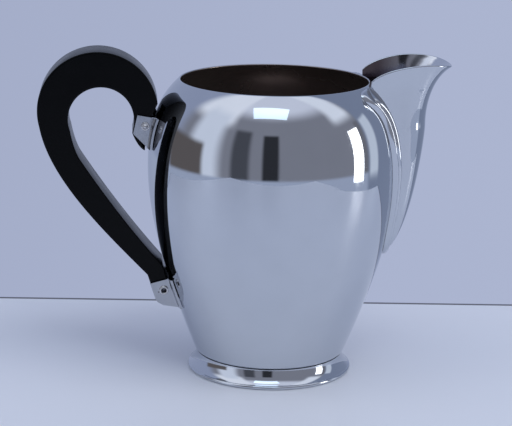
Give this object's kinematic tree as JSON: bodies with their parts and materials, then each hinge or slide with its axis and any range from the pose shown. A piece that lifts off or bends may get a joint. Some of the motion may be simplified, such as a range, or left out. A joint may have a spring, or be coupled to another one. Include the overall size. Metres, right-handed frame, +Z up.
{
  "type": "chrome jug with open beaked spout",
  "caption": "Chrome-plated round jug with a flared foot, an open beaked spout and a black slab handle in riveted lugs.",
  "frame": {"origin": "centre of the whole object's plan, at table level", "axes": "+Z up, +X towards the spout, -X towards the handle, so +Y is the jug's left side seen from behind the handle"},
  "size_m": [0.1552, 0.0948, 0.1234],
  "materials": {
    "chrome": "mirror polished chrome plate on spun and pressed sheet",
    "handle_black": "satin black moulded slab, edges a little shinier than the faces",
    "rivet_steel": "plated rivets, dulled round the heads"
  },
  "bodies": {
    "root": {"body_shell": "chrome", "foot_ring": "chrome", "spout": "chrome", "upper_lug_left": "chrome", "upper_lug_right": "chrome", "lower_lug_left": "chrome", "lower_lug_right": "chrome", "handle": "handle_black", "upper_rivet": "rivet_steel", "lower_rivet": "rivet_steel"}
  },
  "joints": []
}
